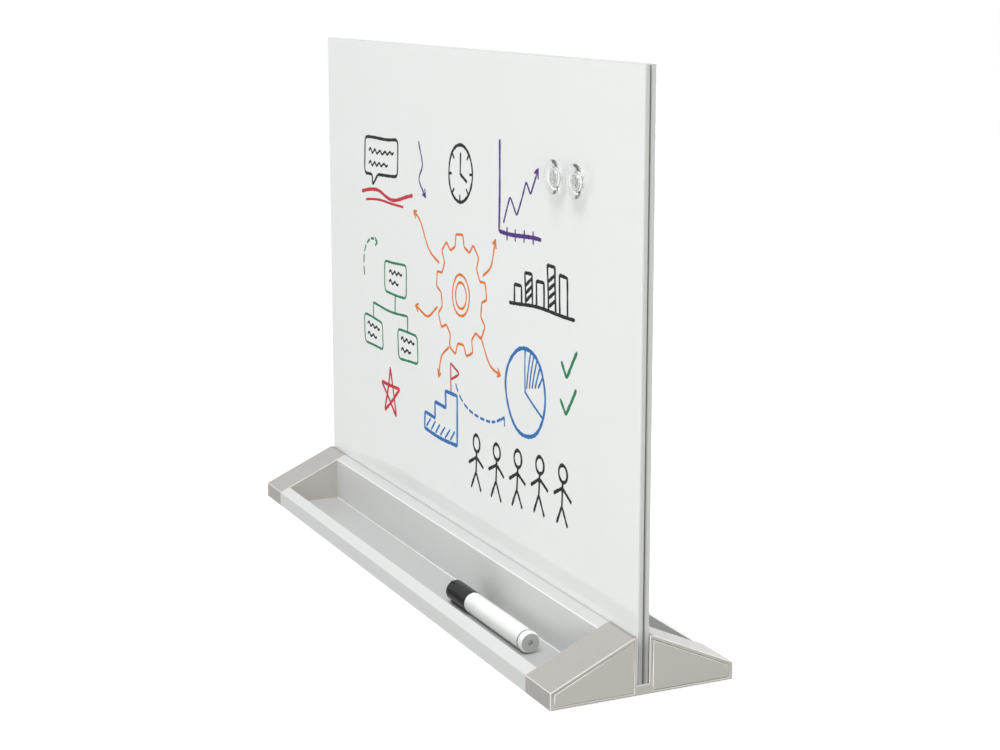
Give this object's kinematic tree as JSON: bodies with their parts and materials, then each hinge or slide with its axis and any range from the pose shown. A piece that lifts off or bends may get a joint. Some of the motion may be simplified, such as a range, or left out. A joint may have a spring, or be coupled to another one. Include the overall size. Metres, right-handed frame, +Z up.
{
  "type": "desk whiteboard easel",
  "caption": "Desk whiteboard easel: white glass panels stand in a slotted aluminium base with pen trays, with clear knob magnets and a capped marker.",
  "frame": {"origin": "centre of the base's footprint, on the surface that the feet stand on", "axes": "+X along the board to the viewer's right, +Y from the front to the rear, +Z up"},
  "size_m": [0.6, 0.143, 0.4308],
  "materials": {
    "tray_aluminium": "fine satin, natural anodised",
    "channel_steel": "zinc plated",
    "screw_steel": "zinc plated",
    "block_rubber": "matt",
    "gasket_vinyl": "satin",
    "cap_paint": "fine-grained champagne grey paint on moulded plastic",
    "inlay_paint": "fine-grained champagne grey paint",
    "foot_rubber": "matt",
    "white_glass": "glossy, white behind",
    "backing_white": "matt",
    "sheet_steel": "galvanised",
    "knob_clear": "clear, polished",
    "magnet_nickel": "nickel plated",
    "marker_white": "glossy",
    "marker_holder": "satin",
    "ink_felt": "fibre",
    "nib_felt": "hard felt",
    "marker_black": "satin gloss"
  },
  "bodies": {
    "base": {"front_tray": "tray_aluminium", "rear_tray": "tray_aluminium", "centre_channel": "channel_steel", "channel_screws": "screw_steel", "setting_blocks": "block_rubber", "front_gasket": "gasket_vinyl", "rear_gasket": "gasket_vinyl", "left_end_cap": "cap_paint", "right_end_cap": "cap_paint", "left_front_inlay": "inlay_paint", "left_rear_inlay": "inlay_paint", "right_front_inlay": "inlay_paint", "right_rear_inlay": "inlay_paint", "left_cap_screws": "screw_steel", "right_cap_screws": "screw_steel", "foot_pads": "foot_rubber"},
    "board": {"front_glass": "white_glass", "rear_glass": "white_glass", "front_backing_film": "backing_white", "rear_backing_film": "backing_white", "steel_sheet": "sheet_steel"},
    "magnet_1": {"magnet_1_knob": "knob_clear", "magnet_1_disc": "magnet_nickel"},
    "magnet_2": {"magnet_2_knob": "knob_clear", "magnet_2_disc": "magnet_nickel"},
    "marker": {"marker_barrel": "marker_white", "marker_end_plug": "marker_white", "marker_ink_core": "ink_felt", "marker_nib_holder": "marker_holder", "marker_nib": "nib_felt"},
    "marker_cap": {"marker_cap": "marker_black", "marker_cap_seal": "marker_holder"}
  },
  "joints": [
    {"name": "board_lift", "type": "slide", "parent": "base", "child": "board", "axis": [0, 0, 1], "range_m": [0, 0.036]},
    {"name": "magnet_1_slide", "type": "slide", "parent": "board", "child": "magnet_1", "axis": [1, 0, 0], "range_m": [-0.45, 0]},
    {"name": "magnet_2_slide", "type": "slide", "parent": "board", "child": "magnet_2", "axis": [0, 0, 1], "range_m": [-0.285, 0.065]},
    {"name": "marker_slide", "type": "slide", "parent": "base", "child": "marker", "axis": [1, 0, 0], "range_m": [-0.285, 0.062]},
    {"name": "cap_pull", "type": "slide", "parent": "marker", "child": "marker_cap", "axis": [-1, 0, 0], "range_m": [0, 0.036]}
  ]
}
